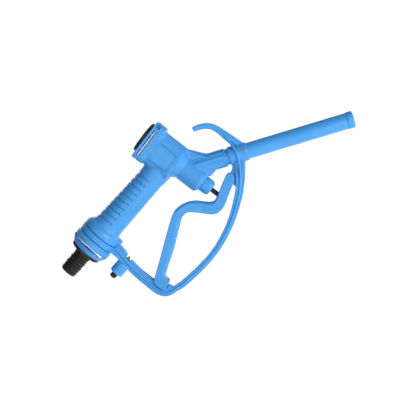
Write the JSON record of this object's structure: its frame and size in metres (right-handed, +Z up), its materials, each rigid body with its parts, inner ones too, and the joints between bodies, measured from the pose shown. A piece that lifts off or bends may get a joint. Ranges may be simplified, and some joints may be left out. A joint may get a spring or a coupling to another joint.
{
  "type": "fuel nozzle",
  "caption": "Hand-held plastic dispensing nozzle with a trigger-worked poppet valve, hand guard with hang-up hook, straight spout, hold-open latch and swivelling barbed hose tail.",
  "frame": {"origin": "middle of the bonnet cap's flat top, on the valve axis", "axes": "+Z up along the valve axis, out of the bonnet; the spout leaves towards +X and down, the hose tail points to -X; Y = 0 is the mid-plane"},
  "size_m": [0.3576, 0.049, 0.1899],
  "materials": {
    "blue_plastic": "moulded glass-filled nylon, fine satin grain",
    "black_plastic": "moulded black nylon, satin",
    "seal_rubber": "smooth EPDM",
    "stainless": "drawn stainless wire and turned bar",
    "natural_plastic": "natural acetal and PTFE"
  },
  "bodies": {
    "nozzle": {"valve_body": "blue_plastic", "bonnet_cap": "black_plastic", "bonnet_oring": "seal_rubber", "bonnet_clip": "stainless", "valve_spring": "stainless", "gland_nut": "blue_plastic", "gland_washer": "natural_plastic", "stem_oring_upper": "seal_rubber", "stem_oring_lower": "seal_rubber", "inlet_collar": "blue_plastic", "inlet_clip": "stainless", "spout_tube": "blue_plastic", "spout_oring": "seal_rubber", "spout_tip": "blue_plastic", "guard": "blue_plastic", "guard_screw": "stainless", "trigger_pin": "blue_plastic", "latch_spring": "stainless"},
    "trigger": {"trigger": "blue_plastic"},
    "stem": {"valve_stem": "black_plastic", "poppet": "natural_plastic", "poppet_seal": "seal_rubber", "poppet_retainer": "stainless"},
    "latch": {"latch_button": "black_plastic", "latch_pin": "stainless", "latch_clip": "stainless"},
    "swivel": {"hose_tail": "black_plastic", "hose_tail_oring_front": "seal_rubber", "hose_tail_oring_rear": "seal_rubber"}
  },
  "joints": [
    {"name": "trigger_pivot", "type": "hinge", "parent": "nozzle", "child": "trigger", "pos_m": [0.0235, 0, -0.1115], "axis": [0, 1, 0], "range_deg": [0, 18], "stiffness_Nm_per_rad": 0.82, "springref_deg": -32.66},
    {"name": "stem_slide", "type": "slide", "parent": "nozzle", "child": "stem", "axis": [0, 0, 1], "range_m": [0, 0.0075], "deforming": ["valve_spring"]},
    {"name": "latch_slide", "type": "slide", "parent": "nozzle", "child": "latch", "axis": [0.9976, 0, -0.0698], "range_m": [0, 0.0049], "stiffness_N_per_m": 400, "springref_m": -0.004, "deforming": ["latch_spring"]},
    {"name": "hose_tail_swivel", "type": "hinge", "parent": "nozzle", "child": "swivel", "pos_m": [-0.1845, 0, -0.027], "axis": [0.9976, 0, -0.0698], "continuous": true}
  ],
  "couplings": [
    {"joint": "stem_slide", "follows": "trigger_pivot", "m_per_rad": 0.0234}
  ]
}
